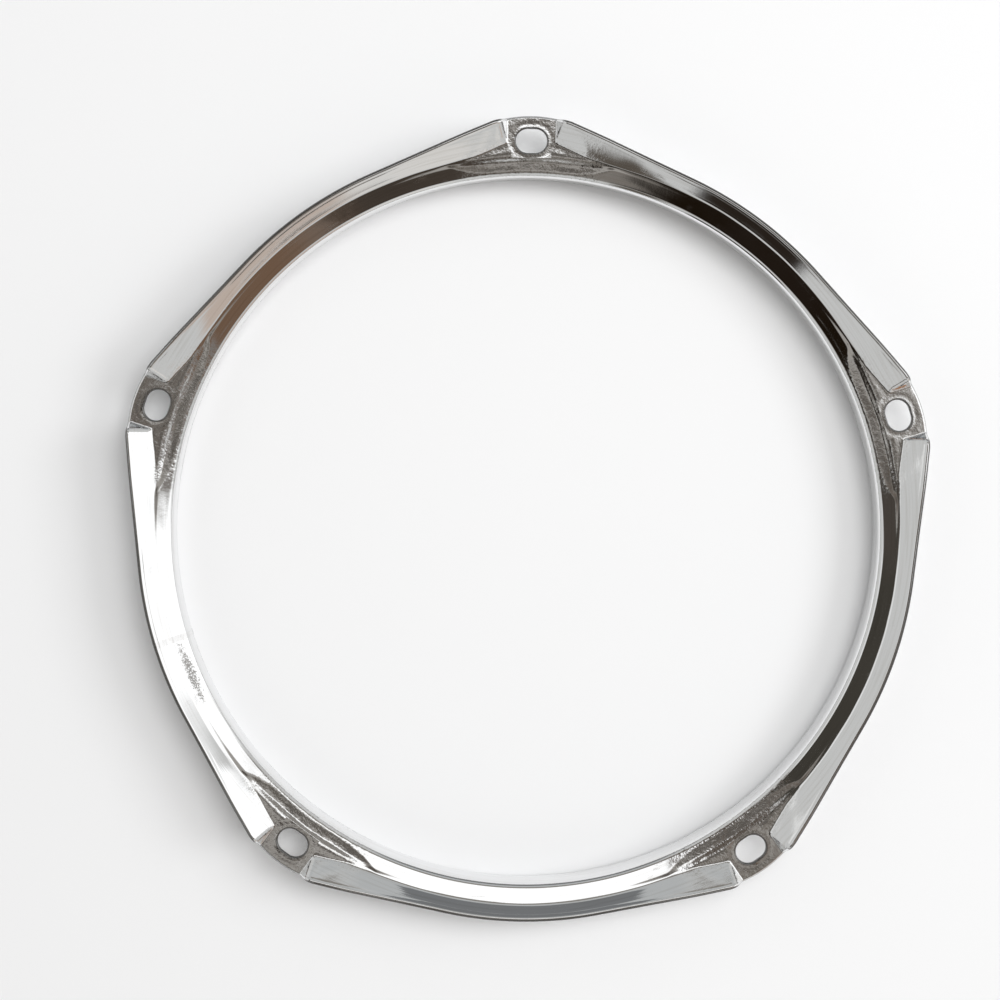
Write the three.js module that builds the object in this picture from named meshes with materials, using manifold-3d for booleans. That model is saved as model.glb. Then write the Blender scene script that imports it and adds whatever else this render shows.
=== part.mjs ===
// Drum hoop of the triple-flanged kind, pressed from one steel strip that is rolled into a ring
// and butt-welded. It suits a ten-inch shell with five tension rods.
// Millimetres, +Z up. The hoop lies on its playing rim, with the skirt that reaches past the head's
// own hoop pointing up. The origin is on the ring's axis, in the plane that the rim rests on, and
// one ear is on +Y.

import * as THREE from 'three';
import * as BufferGeometryUtils from 'three/addons/utils/BufferGeometryUtils.js';
import Module from 'manifold-3d';

// Driving dimensions, in millimetres and degrees.

// The ring and its strip
const earCount = 5;
const sheetThickness = 2.0;
const innerRadius = 130.2;
const plateHeight = 17.8;

// The playing rim, flared outward at the bottom, and the wall above it
const rimWidth = 6.8;
const rimBendInside = 2.0;

// The seat that presses on the head's hoop: a shallow cone, pressed flatter in front of each ear
const seatBendInside = 0.6;
const seatWidth = 4.0;
const seatTiltAtSpan = 16;
const seatTiltAtEar = 7;
const seatCreaseHalfWidth = 0.7;
const flatSeatReach = 23;
const flatSeatEase = 8;

// The skirt, which climbs outward from the fold. Along the span the fold's bend laps over the seat's
// outer edge, so that the seat runs straight into it.
const skirtRise = 5.4;
const skirtSpread = 5.45;
const foldInside = 1.5;
const foldLap = 0.5;

// Where the fold swings outward to clear each ear
const foldSwing = 5.85;
const foldSwingRun = 30;
const foldSwingPower = 1.4;

// The ears: flat plates sunk between two wings of the skirt
const holeOffset = 13.3;
const earEdgeMargin = 9.2;
const plateFlatWidth = 17.2;
const sideWallAngle = 64;
const sideBendInside = 0.8;
const wingSetBack = 1.55;
const wingRun = 48;
const wingPower = 2.0;

// The gusset facet beside each ear, pressed a little deeper than the skirt around it
const gussetReach = 8;
const gussetSlope = 0.12;
const gussetCreaseHalfWidth = 1.0;

// The slotted hole for a tension rod
const holeLength = 11.5;
const holeWidth = 8.9;
const holeArcSegments = 10;

// The butt weld across the strip, in the middle of one span
const weldWidth = 2.4;
const weldProud = 0.12;
const earAfterWeld = 2;

// How far a cutting tool runs past what it cuts, and the step for slopes found by difference
const overrun = 2.0;
const slopeStep = 0.01;

// Places across the strip and along a span where the loft has a station, as shares
const bendShares = [0, 1 / 3, 2 / 3, 1];
const foldShares = [0, 0.5, 1];
const sideArcShares = [0, 0.5, 1];
const spanShares = [0.05, 0.11, 0.18, 0.27, 0.38, 0.52, 0.68, 0.84, 1];

// Sizes that follow from the driving dimensions. The surface worked with is the middle of the sheet.
const halfSheet = sheetThickness / 2;
const wallRadius = innerRadius + halfSheet;
const rimRadius = innerRadius + rimWidth;
const rimBend = rimBendInside + halfSheet;
const seatBend = seatBendInside + halfSheet;
const foldBend = foldInside + halfSheet;
const sideBend = sideBendInside + halfSheet;
const plateLevel = plateHeight - halfSheet;

const holeCircleRadius = innerRadius + holeOffset;
const earEdgeRadius = holeCircleRadius + earEdgeMargin;
const wingEdgeRadius = earEdgeRadius - wingSetBack;
const earPitch = (2 * Math.PI) / earCount;
const halfSpan = (holeCircleRadius * earPitch) / 2;

const spanSkirtAngle = Math.atan(skirtRise / skirtSpread);
const seatEdgeRadius = wallRadius + seatBend + seatWidth;
const foldRadius = seatEdgeRadius - foldLap + foldBend * Math.tan(spanSkirtAngle / 2);
const spanEdgeRadius = foldRadius + skirtSpread;

const sideAngle = THREE.MathUtils.degToRad(sideWallAngle);
const plateHalfWidth = plateFlatWidth / 2;
const sideArcRun = sideBend * Math.sin(sideAngle);
const sideArcRise = sideBend * (1 - Math.cos(sideAngle));
const sideStraightRun = (skirtRise - 2 * sideArcRise) / Math.tan(sideAngle);
const wingCorner = plateHalfWidth + 2 * sideArcRun + sideStraightRun;

// A ramp that is zero up to -halfWidth and straight from +halfWidth, with a smooth bend between.
function smoothRamp(value, halfWidth) {
  if (value <= -halfWidth) return 0;
  if (value >= halfWidth) return value;
  return (value + halfWidth) ** 2 / (4 * halfWidth);
}

// How far the fold has swung toward an ear: 1 at the ear's middle, 0 once the run is past.
function swingShare(along) {
  const rest = Math.max(0, 1 - Math.abs(along) / foldSwingRun);
  return rest ** foldSwingPower;
}

// Radius where the seat's plane and the skirt's plane would meet.
function foldRadiusAt(along) {
  return foldRadius + foldSwing * swingShare(along);
}

// Radius of the strip's outer edge: round at the ear, then easing in along the wing to the span.
function edgeRadiusAt(along) {
  const distance = Math.abs(along);
  if (distance <= wingCorner) {
    return earEdgeRadius - wingSetBack * (distance / wingCorner) ** 2;
  }
  const rest = Math.max(0, 1 - (distance - wingCorner) / wingRun);
  return spanEdgeRadius + (wingEdgeRadius - spanEdgeRadius) * rest ** wingPower;
}

function seatTiltAt(along) {
  const past = (Math.abs(along) - flatSeatReach) / flatSeatEase;
  const share = THREE.MathUtils.smoothstep(past, 0, 1);
  return THREE.MathUtils.degToRad(THREE.MathUtils.lerp(seatTiltAtEar, seatTiltAtSpan, share));
}

function skirtSlopeAt(along) {
  return skirtRise / (edgeRadiusAt(along) - foldRadiusAt(along));
}

// How far the gusset facet lies below the plain skirt. Its crease runs from the wing's corner at the
// edge to the fold, gussetReach further along.
function gussetDip(radius, along) {
  const outer = edgeRadiusAt(wingCorner);
  const inner = foldRadiusAt(wingCorner + gussetReach);
  const crease = wingCorner + (gussetReach * (outer - radius)) / (outer - inner);
  return gussetSlope * smoothRamp(crease - Math.abs(along), gussetCreaseHalfWidth);
}

// Height of the skirt above the plate's level, with the fold's bend as an arc.
function skirtLift(radius, along) {
  const slope = skirtSlopeAt(along);
  const angle = Math.atan(slope);
  const past = radius - foldRadiusAt(along) - gussetDip(radius, along) / slope;
  const intoBend = past + foldBend * Math.tan(angle / 2);
  if (intoBend <= 0) return 0;
  if (intoBend < foldBend * Math.sin(angle)) return foldBend - Math.sqrt(foldBend ** 2 - intoBend ** 2);
  return past * slope;
}

// Height of the steep wall beside an ear's flat plate, which climbs to the skirt's height there with
// one arc at its foot and one at its crest.
function sideWallLift(distance, top) {
  if (distance <= 0 || top <= 0) return 0;
  const steep = top >= 2 * sideArcRise;
  const angle = steep ? sideAngle : Math.acos(1 - top / (2 * sideBend));
  const straightRun = steep ? (top - 2 * sideArcRise) / Math.tan(sideAngle) : 0;
  const arcRun = sideBend * Math.sin(angle);
  if (distance < arcRun) return sideBend - Math.sqrt(sideBend ** 2 - distance ** 2);
  if (distance < arcRun + straightRun) return sideArcRise + (distance - arcRun) * Math.tan(sideAngle);
  const rest = 2 * arcRun + straightRun - distance;
  if (rest <= 0) return top;
  return top - (sideBend - Math.sqrt(sideBend ** 2 - rest ** 2));
}

// Height of the sheet's middle from the seat outward.
function middleHeight(radius, along) {
  const inward = smoothRamp(seatEdgeRadius - radius, seatCreaseHalfWidth);
  const seatDrop = Math.tan(seatTiltAt(along)) * inward;
  const lift = sideWallLift(Math.abs(along) - plateHalfWidth, skirtLift(radius, along));
  return plateLevel - seatDrop + lift;
}

// Azimuth of a place along the ring. Near an ear, lines of equal distance run parallel to the ear's
// own axis, as its side walls do. Along the span they are radial.
function azimuthAt(earAzimuth, radius, along) {
  const fade = (foldSwingRun - Math.abs(along)) / (foldSwingRun - wingCorner);
  const parallelShare = THREE.MathUtils.smoothstep(fade, 0, 1);
  const stretch = 1 + parallelShare * (holeCircleRadius / radius - 1);
  return earAzimuth + (along / holeCircleRadius) * stretch;
}

function pointAt(earAzimuth, radius, along, height) {
  const azimuth = azimuthAt(earAzimuth, radius, along);
  return new THREE.Vector3(radius * Math.cos(azimuth), radius * Math.sin(azimuth), height);
}

// One place across the strip: the middle of the sheet and the direction of its inner and upper face.
function bendStation(earAzimuth, along, centreRadius, centreHeight, bend, turn) {
  const radius = centreRadius + bend * Math.cos(turn);
  const middle = pointAt(earAzimuth, radius, along, centreHeight + bend * Math.sin(turn));
  const azimuth = azimuthAt(earAzimuth, radius, along);
  const facing = new THREE.Vector3(
    Math.cos(turn) * Math.cos(azimuth),
    Math.cos(turn) * Math.sin(azimuth),
    Math.sin(turn),
  );
  return { middle, facing };
}

function surfaceStation(earAzimuth, along, radius) {
  const place = (...at) => pointAt(earAzimuth, ...at, middleHeight(...at));
  const across = place(radius + slopeStep, along).sub(place(radius - slopeStep, along));
  const onward = place(radius, along + slopeStep).sub(place(radius, along - slopeStep));
  return { middle: place(radius, along), facing: across.cross(onward).normalize() };
}

// The stations across the strip, from the playing rim's edge over the wall and seat to the skirt.
function stationsAcross(earAzimuth, along) {
  const bendOf = (...rest) => bendStation(earAzimuth, along, ...rest);
  const tilt = seatTiltAt(along);
  const seatStart = wallRadius + seatBend - seatBend * Math.sin(tilt);
  const seatBendHeight = middleHeight(seatStart, along) - seatBend * Math.cos(tilt);
  const rimEdge = bendOf(rimRadius, halfSheet, 0, -Math.PI / 2);
  const rimTurns = bendShares.map((share) => -Math.PI / 2 - (share * Math.PI) / 2);
  const seatTurns = bendShares.map((share) => Math.PI - share * (Math.PI / 2 - tilt));
  const foldAngle = Math.atan(skirtSlopeAt(along));
  const dipAtFold = gussetDip(foldRadiusAt(along), along) / skirtSlopeAt(along);
  const foldStart = foldRadiusAt(along) + dipAtFold - foldBend * Math.tan(foldAngle / 2);
  const foldRadii = foldShares.map((share) => foldStart + foldBend * Math.sin(share * foldAngle));
  const seatEnd = Math.min(seatEdgeRadius, foldStart - seatCreaseHalfWidth);
  const radii = [seatEnd, ...foldRadii, edgeRadiusAt(along)];
  return [
    rimEdge,
    ...rimTurns.map((turn) => bendOf(wallRadius + rimBend, halfSheet + rimBend, rimBend, turn)),
    ...seatTurns.map((turn) => bendOf(wallRadius + seatBend, seatBendHeight, seatBend, turn)),
    ...radii.map((radius) => surfaceStation(earAzimuth, along, radius)),
  ];
}

function facePoints(section, offset) {
  return section.map(({ middle, facing }) => middle.clone().addScaledVector(facing, offset));
}

// A closed body lofted through sections, with a cap at each end. A section goes out along the inner
// and upper face, then back along the outer and under face.
function loftedBody(places, halfThickness) {
  const positions = [];
  const sections = places.map(([earAzimuth, along]) => stationsAcross(earAzimuth, along));
  const width = sections[0].length;
  const ring = 2 * width;
  for (const section of sections) {
    const upper = facePoints(section, halfThickness);
    const under = facePoints(section, -halfThickness).reverse();
    for (const point of [...upper, ...under]) positions.push(...point.toArray());
  }
  const triangles = [];
  for (let step = 0; step + 1 < sections.length; step += 1) {
    for (let side = 0; side < ring; side += 1) {
      const here = step * ring + side;
      const beside = step * ring + ((side + 1) % ring);
      triangles.push(here, beside, beside + ring, here, beside + ring, here + ring);
    }
  }
  const last = (sections.length - 1) * ring;
  for (let side = 0; side + 1 < width; side += 1) {
    const across = ring - 1 - side;
    const [near, far] = [last + side, last + across];
    triangles.push(side, across, across - 1, side, across - 1, side + 1);
    triangles.push(near, far - 1, far, near, near + 1, far - 1);
  }
  const geometry = new THREE.BufferGeometry();
  geometry.setAttribute('position', new THREE.Float32BufferAttribute(positions, 3));
  geometry.setIndex(triangles);
  return geometry;
}

// Distances from an ear's middle, along half a span, at which the loft has a section.
function stationsAlong() {
  const footArc = sideArcShares.map((share) => plateHalfWidth + sideBend * Math.sin(share * sideAngle));
  const crestArc = sideArcShares.map((share) => wingCorner - sideBend * Math.sin((1 - share) * sideAngle));
  const span = spanShares.map((share) => wingCorner + share * (halfSpan - wingCorner));
  return [...footArc, ...crestArc, ...span];
}

// The azimuths of the ears, counted from the ear on +Y and starting just past the weld.
function earAzimuths() {
  return Array.from({ length: earCount }, (_, index) => Math.PI / 2 + (earAfterWeld + index) * earPitch);
}

function toManifold(wasm, geometry) {
  const bare = geometry.clone();
  bare.deleteAttribute('normal');
  bare.deleteAttribute('uv');
  const merged = BufferGeometryUtils.mergeVertices(bare);
  const vertProperties = new Float32Array(merged.attributes.position.array);
  const triVerts = new Uint32Array(merged.index.array);
  return new wasm.Manifold(new wasm.Mesh({ numProp: 3, vertProperties, triVerts }));
}

function toGeometry(solid) {
  const { vertProperties, triVerts } = solid.getMesh();
  const geometry = new THREE.BufferGeometry();
  geometry.setAttribute('position', new THREE.Float32BufferAttribute(vertProperties, 3));
  geometry.setIndex(Array.from(triVerts));
  const flat = geometry.toNonIndexed();
  flat.computeVertexNormals();
  return flat;
}

// The tool for one tension-rod hole: a slot with round ends, longer along the ring than across.
function holeTool(earAzimuth) {
  const endRadius = holeWidth / 2;
  const reach = (holeLength - holeWidth) / 2;
  const outline = new THREE.Shape();
  outline.absarc(reach, 0, endRadius, -Math.PI / 2, Math.PI / 2, false);
  outline.absarc(-reach, 0, endRadius, Math.PI / 2, (3 * Math.PI) / 2, false);
  const depth = sheetThickness + 2 * overrun;
  const settings = { depth, bevelEnabled: false, curveSegments: holeArcSegments };
  const tool = new THREE.ExtrudeGeometry(outline, settings);
  tool.translate(0, holeCircleRadius, plateLevel - depth / 2);
  tool.rotateZ(earAzimuth - Math.PI / 2);
  return tool;
}

// The pressed strip: one open ring, with its two ends facing each other across the weld.
function pressedHoopGeometry(wasm) {
  const half = stationsAlong();
  const toWeld = half.map((along) => Math.min(along, halfSpan - weldWidth / 2));
  const azimuths = earAzimuths();
  const places = [];
  azimuths.forEach((azimuth, index) => {
    const before = index === 0 ? toWeld : half.slice(0, -1);
    const after = index === azimuths.length - 1 ? toWeld : half;
    for (const along of [...before].reverse()) places.push([azimuth, -along]);
    for (const along of [0, ...after]) places.push([azimuth, along]);
  });
  let strip = toManifold(wasm, loftedBody(places, halfSheet));
  for (const azimuth of azimuths) strip = strip.subtract(toManifold(wasm, holeTool(azimuth)));
  return toGeometry(strip);
}

// The weld: a narrow slice of the same section, standing a little proud of both faces.
function buttWeldGeometry(wasm) {
  const [firstEar] = earAzimuths();
  const fromMiddle = [-1, 0, 1].map((side) => -halfSpan + (side * weldWidth) / 2);
  const places = fromMiddle.map((along) => [firstEar, along]);
  return toGeometry(toManifold(wasm, loftedBody(places, halfSheet + weldProud)));
}

function namedMesh(name, geometry, material) {
  const mesh = new THREE.Mesh(geometry, material);
  mesh.name = name;
  return mesh;
}

const wasm = await Module();
wasm.setup();

const brightChrome = new THREE.MeshStandardMaterial({ color: 0xc8cace, roughness: 0.1, metalness: 1.0 });
const dressedWeld = new THREE.MeshStandardMaterial({ color: 0xb6b8bb, roughness: 0.3, metalness: 1.0 });

const drumHoop = new THREE.Group();
drumHoop.add(namedMesh('pressed_hoop', pressedHoopGeometry(wasm), brightChrome));
drumHoop.add(namedMesh('butt_weld', buttWeldGeometry(wasm), dressedWeld));

export default drumHoop;
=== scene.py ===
import math

import bpy
import numpy as np
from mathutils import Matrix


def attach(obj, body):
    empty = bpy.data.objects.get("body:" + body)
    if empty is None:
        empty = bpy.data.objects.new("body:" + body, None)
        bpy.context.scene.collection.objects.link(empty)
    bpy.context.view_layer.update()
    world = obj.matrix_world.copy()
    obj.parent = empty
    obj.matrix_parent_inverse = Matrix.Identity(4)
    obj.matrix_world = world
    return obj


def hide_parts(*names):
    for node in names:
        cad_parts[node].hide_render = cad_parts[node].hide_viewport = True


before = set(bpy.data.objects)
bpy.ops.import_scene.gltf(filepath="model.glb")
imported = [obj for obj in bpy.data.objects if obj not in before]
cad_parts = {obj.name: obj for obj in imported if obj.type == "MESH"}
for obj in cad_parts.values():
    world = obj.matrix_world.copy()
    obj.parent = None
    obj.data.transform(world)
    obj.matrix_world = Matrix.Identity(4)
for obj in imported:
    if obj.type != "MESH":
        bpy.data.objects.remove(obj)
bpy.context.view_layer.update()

# The hoop's driving sizes, in metres and degrees, as the CAD part has them.
EAR_COUNT = 5
SHEET_THICKNESS = 0.0020
INNER_RADIUS = 0.1302
PLATE_HEIGHT = 0.0178
RIM_WIDTH = 0.0068
RIM_BEND_INSIDE = 0.0020
SEAT_BEND_INSIDE = 0.0006
SEAT_WIDTH = 0.0040
SEAT_TILT_AT_SPAN = 16
SEAT_TILT_AT_EAR = 7
SEAT_CREASE_HALF_WIDTH = 0.0007
SKIRT_RISE = 0.0054
SKIRT_SPREAD = 0.00545
FOLD_INSIDE = 0.0015
FOLD_LAP = 0.0005
FOLD_SWING = 0.00585
HOLE_OFFSET = 0.0133
EAR_EDGE_MARGIN = 0.0092
PLATE_FLAT_WIDTH = 0.0172
SIDE_WALL_ANGLE = 64
SIDE_BEND_INSIDE = 0.0008
WING_SET_BACK = 0.00155
WING_RUN = 0.048
WING_POWER = 2.0
GUSSET_REACH = 0.008
HOLE_LENGTH = 0.0115
HOLE_WIDTH = 0.0089
WELD_WIDTH = 0.0024
EAR_AFTER_WELD = 2

# What only the dressed surface has: rounded edges, softer bends, a fold that swings out over a longer
# run, softer gussets, a bead dressed almost flush, and a skirt that starts a little steeper than it
# ends, with a faint rolled groove beside its edge.
EDGE_ROUNDING = 0.00095
EDGE_TRIM = 0.00001
HOLE_ROUNDING = 0.00055
SOFT_FOLD_BEND = 0.0036
SOFT_FOLD_SHIFT = 0.00045
SOFT_SKIRT_RISE = 0.0050
FOLD_SWING_RUN = 0.040
FOLD_SWING_POWER = 2.0
GUSSET_SLOPE = 0.10
GUSSET_CREASE_HALF_WIDTH = 0.0022
BEAD_PROUD = 0.00006
SKIRT_FOOT_BOW = 0.00004
GROOVE_FROM_EDGE = 0.0014
GROOVE_WIDTH = 0.0003
GROOVE_DEPTH = 0.00005

# Near an ear the strip's rows run straight out from the ring, side by side. This is how far along the
# ring that reaches, and the skirt is at its full height within a part of the same reach.
EAR_FRAME_REACH = 0.030
FULL_SKIRT_SHARE = 0.6

# The gentle waviness of pressed sheet: a sum of ripples round the ring, each with its own phase.
WAVE_HEIGHT = 0.00002
WAVE_FADE = 0.0015
RIPPLE_TURN = 900
RIPPLE_FADE_POWER = 0.9

# The press's marks at each ear: a lens-shaped flat in the seat with a low riser behind it, two dimples
# in the flat, a plate that falls outward up to the slot, and a washer's shallow print round the slot.
LENS_REACH = 0.014
LENS_END = 0.0335
LENS_INNER_RADIUS = 0.1327
LENS_CREASE_HALF_WIDTH = 0.0005
LENS_POWER = 0.75
RISER_BEFORE_EDGE = 0.0010
RISER_AFTER_EDGE = 0.0015
DIMPLE_ALONG = 0.0115
DIMPLE_RADIUS = 0.1345
DIMPLE_LENGTH = 0.0042
DIMPLE_WIDTH = 0.0012
DIMPLE_DEPTH = 0.00016
DIMPLE_SHIFT = 0.0015
PLATE_FALL = 0.00009
PLATE_FALL_RUN = 0.0030
PLATE_FALL_REACH = 0.016
PRINT_FROM_SLOT = 0.0017
PRINT_WIDTH = 0.0009
PRINT_DEPTH = 0.00006

HALF_SHEET = SHEET_THICKNESS / 2
WALL_RADIUS = INNER_RADIUS + HALF_SHEET
RIM_RADIUS = INNER_RADIUS + RIM_WIDTH
RIM_BEND = RIM_BEND_INSIDE + HALF_SHEET
SEAT_BEND = SEAT_BEND_INSIDE + HALF_SHEET
FOLD_BEND = FOLD_INSIDE + HALF_SHEET
SIDE_BEND = SIDE_BEND_INSIDE + HALF_SHEET
PLATE_LEVEL = PLATE_HEIGHT - HALF_SHEET
HOLE_CIRCLE_RADIUS = INNER_RADIUS + HOLE_OFFSET
EAR_EDGE_RADIUS = HOLE_CIRCLE_RADIUS + EAR_EDGE_MARGIN
WING_EDGE_RADIUS = EAR_EDGE_RADIUS - WING_SET_BACK
EAR_PITCH = 2 * math.pi / EAR_COUNT
HALF_SPAN = HOLE_CIRCLE_RADIUS * EAR_PITCH / 2
SPAN_SKIRT_ANGLE = math.atan(SKIRT_RISE / SKIRT_SPREAD)
SEAT_TILT = math.radians(SEAT_TILT_AT_SPAN)
SEAT_START = WALL_RADIUS + SEAT_BEND * (1 - math.sin(SEAT_TILT))
SEAT_EDGE_RADIUS = WALL_RADIUS + SEAT_BEND + SEAT_WIDTH
RISER_START = SEAT_EDGE_RADIUS - RISER_BEFORE_EDGE
RISER_END = SEAT_EDGE_RADIUS + RISER_AFTER_EDGE
FOLD_RADIUS = SEAT_EDGE_RADIUS - FOLD_LAP + FOLD_BEND * math.tan(SPAN_SKIRT_ANGLE / 2)
SPAN_EDGE_RADIUS = FOLD_RADIUS + SKIRT_SPREAD
SIDE_ANGLE = math.radians(SIDE_WALL_ANGLE)
PLATE_HALF_WIDTH = PLATE_FLAT_WIDTH / 2
SIDE_ARC_RUN = SIDE_BEND * math.sin(SIDE_ANGLE)
SIDE_ARC_RISE = SIDE_BEND * (1 - math.cos(SIDE_ANGLE))
SIDE_STRAIGHT_RUN = (SKIRT_RISE - 2 * SIDE_ARC_RISE) / math.tan(SIDE_ANGLE)
WING_CORNER = PLATE_HALF_WIDTH + 2 * SIDE_ARC_RUN + SIDE_STRAIGHT_RUN
WELD_AZIMUTH = math.pi / 2 + (EAR_AFTER_WELD - 0.5) * EAR_PITCH
NEARLY_FLAT = 1e-9


def smooth_ramp(value, half_width):
    """Zero up to -half_width, straight from +half_width, with a smooth bend between."""
    bend = (value + half_width) ** 2 / (4 * half_width)
    return np.where(value <= -half_width, 0, np.where(value >= half_width, value, bend))


def smooth_step(value):
    share = np.clip(value, 0, 1)
    return share * share * (3 - 2 * share)


def bell(value):
    return np.exp(-(value**2))


def fold_radius(along):
    swing = np.clip(1 - np.abs(along) / FOLD_SWING_RUN, 0, None) ** FOLD_SWING_POWER
    return FOLD_RADIUS + SOFT_FOLD_SHIFT + (FOLD_SWING - SOFT_FOLD_SHIFT) * swing


def edge_radius(along):
    distance = np.abs(along)
    ear = EAR_EDGE_RADIUS - WING_SET_BACK * (distance / WING_CORNER) ** 2
    rest = np.clip(1 - (distance - WING_CORNER) / WING_RUN, 0, None)
    wing = SPAN_EDGE_RADIUS + (WING_EDGE_RADIUS - SPAN_EDGE_RADIUS) * rest**WING_POWER
    return np.where(distance <= WING_CORNER, ear, wing)


def lens_edge(along):
    """Radius at which the lens-shaped flat in front of an ear starts; past the riser beyond its ends."""
    past = np.clip((np.abs(along) - LENS_REACH) / (LENS_END - LENS_REACH), 0, 1)
    return RISER_END + (LENS_INNER_RADIUS - RISER_END) * (1 - past**2) ** LENS_POWER


def seat_drop(radius, along):
    """How far the seat lies below the plate's level."""
    tilt_at_span = math.tan(SEAT_TILT)
    tilt_at_ear = math.tan(math.radians(SEAT_TILT_AT_EAR))
    cone = tilt_at_span * smooth_ramp(SEAT_EDGE_RADIUS - radius, SEAT_CREASE_HALF_WIDTH)
    flat = (tilt_at_span - tilt_at_ear) * smooth_ramp(radius - lens_edge(along), LENS_CREASE_HALF_WIDTH)
    return cone + flat * smooth_step((RISER_END - radius) / (RISER_END - RISER_START))


def skirt_rise(along):
    """Height of the skirt's edge over the plate, full beside an ear."""
    by_ear = smooth_step(1 + FULL_SKIRT_SHARE - np.abs(along) / EAR_FRAME_REACH)
    return SOFT_SKIRT_RISE + (SKIRT_RISE - SOFT_SKIRT_RISE) * by_ear


def skirt_slope(along):
    return skirt_rise(along) / (edge_radius(along) - fold_radius(along))


def gusset_dip(radius, along):
    """How far the gusset facet beside an ear lies below the skirt around it."""
    outer, inner = edge_radius(WING_CORNER), fold_radius(WING_CORNER + GUSSET_REACH)
    crease = WING_CORNER + GUSSET_REACH * (outer - radius) / (outer - inner)
    return GUSSET_SLOPE * smooth_ramp(crease - np.abs(along), GUSSET_CREASE_HALF_WIDTH)


def skirt_lift(radius, along):
    """Height of the skirt above the plate's level, with the fold's bend as an arc and a slight bow."""
    slope = skirt_slope(along)
    angle = np.arctan(slope)
    past = radius - fold_radius(along) - gusset_dip(radius, along) / slope
    into = past + SOFT_FOLD_BEND * np.tan(angle / 2)
    arc_end = SOFT_FOLD_BEND * np.sin(angle)
    in_arc = np.clip(into, 0, SOFT_FOLD_BEND)
    arc = SOFT_FOLD_BEND - np.sqrt(SOFT_FOLD_BEND**2 - in_arc**2)
    run = edge_radius(along) - fold_radius(along)
    start = arc_end - SOFT_FOLD_BEND * np.tan(angle / 2)
    share = np.clip((past - start) / (run - start), 0, 1)
    # The bow's curve peaks at 4/27, a third of the way up the skirt.
    bow = SKIRT_FOOT_BOW * 27 / 4 * share * (1 - share) ** 2
    groove = GROOVE_DEPTH * bell((edge_radius(along) - radius - GROOVE_FROM_EDGE) / GROOVE_WIDTH)
    return np.where(into <= 0, 0, np.where(into < arc_end, arc, past * slope + bow - groove))


def side_wall_lift(distance, top):
    """Height of the steep wall beside an ear's flat plate, up to the skirt's height there."""
    top = np.maximum(top, NEARLY_FLAT)
    steep = top >= 2 * SIDE_ARC_RISE
    angle = np.where(steep, SIDE_ANGLE, np.arccos(np.clip(1 - top / (2 * SIDE_BEND), -1, 1)))
    straight = np.where(steep, (top - 2 * SIDE_ARC_RISE) / math.tan(SIDE_ANGLE), 0)
    arc_run = SIDE_BEND * np.sin(angle)
    foot = SIDE_BEND - np.sqrt(np.clip(SIDE_BEND**2 - distance**2, 0, None))
    middle = SIDE_ARC_RISE + (distance - arc_run) * math.tan(SIDE_ANGLE)
    rest = 2 * arc_run + straight - distance
    crest = top - (SIDE_BEND - np.sqrt(np.clip(SIDE_BEND**2 - rest**2, 0, None)))
    lift = np.where(distance < arc_run, foot, np.where(distance < arc_run + straight, middle, crest))
    lift = np.where(rest <= 0, top, lift)
    return np.where(distance <= 0, 0, lift)


def azimuth_at(ear_azimuth, radius, along):
    fade = (EAR_FRAME_REACH - np.abs(along)) / (EAR_FRAME_REACH - WING_CORNER)
    stretch = 1 + smooth_step(fade) * (HOLE_CIRCLE_RADIUS / radius - 1)
    return ear_azimuth + along / HOLE_CIRCLE_RADIUS * stretch


rng = np.random.default_rng(11)
RIPPLE_COUNTS = np.arange(7, 75, 3)
RIPPLE_PHASES = rng.uniform(0, 2 * math.pi, RIPPLE_COUNTS.size)
RIPPLE_TURNS = rng.uniform(-RIPPLE_TURN, RIPPLE_TURN, RIPPLE_COUNTS.size)
RIPPLE_SHARES = rng.uniform(0.5, 1.0, RIPPLE_COUNTS.size)
RIPPLE_SHARES = RIPPLE_SHARES * (RIPPLE_COUNTS[0] / RIPPLE_COUNTS) ** RIPPLE_FADE_POWER

# How each ear's two dimples differ from the plain ones.
DIMPLE_SHIFTS = rng.uniform(-DIMPLE_SHIFT, DIMPLE_SHIFT, (EAR_COUNT, 2))
DIMPLE_DEEPNESS = rng.uniform(0.6, 1.2, (EAR_COUNT, 2))


def waviness(azimuth, radius):
    turn = azimuth[..., None] * RIPPLE_COUNTS + RIPPLE_PHASES
    turn = turn + (radius[..., None] - FOLD_RADIUS) * RIPPLE_TURNS
    return WAVE_HEIGHT * (RIPPLE_SHARES * np.sin(turn)).sum(-1)


def slot_print(beside, outward):
    """The shallow ring that a washer has pressed round a slot, from places beside the slot's middle."""
    reach = (HOLE_LENGTH - HOLE_WIDTH) / 2
    from_slot = np.hypot(np.clip(np.abs(beside) - reach, 0, None), outward) - HOLE_WIDTH / 2
    return -PRINT_DEPTH * bell((from_slot - PRINT_FROM_SLOT) / PRINT_WIDTH)


def press_marks(ear_azimuth, radius, along):
    """Small heights that the press leaves at an ear, a little different at each."""
    number = np.rint((ear_azimuth - math.pi / 2) / EAR_PITCH).astype(int) % EAR_COUNT
    marks = 0 * radius
    for index, side in enumerate((-1, 1)):
        beside = (along - side * DIMPLE_ALONG - DIMPLE_SHIFTS[number, index]) / DIMPLE_LENGTH
        across = (radius - DIMPLE_RADIUS) / DIMPLE_WIDTH
        dimple = np.exp(-(beside**2 + across**2) / 2)
        marks = marks - DIMPLE_DEPTH * DIMPLE_DEEPNESS[number, index] * dimple
    fall = smooth_step((radius - RISER_START) / (RISER_END - RISER_START))
    fall = fall * (1 - smooth_step((radius - RISER_END) / PLATE_FALL_RUN))
    marks = marks + PLATE_FALL * fall * (1 - smooth_step(np.abs(along) / PLATE_FALL_REACH))
    turn = azimuth_at(0, radius, along)
    return marks + slot_print(radius * np.sin(turn), radius * np.cos(turn) - HOLE_CIRCLE_RADIUS)


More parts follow.
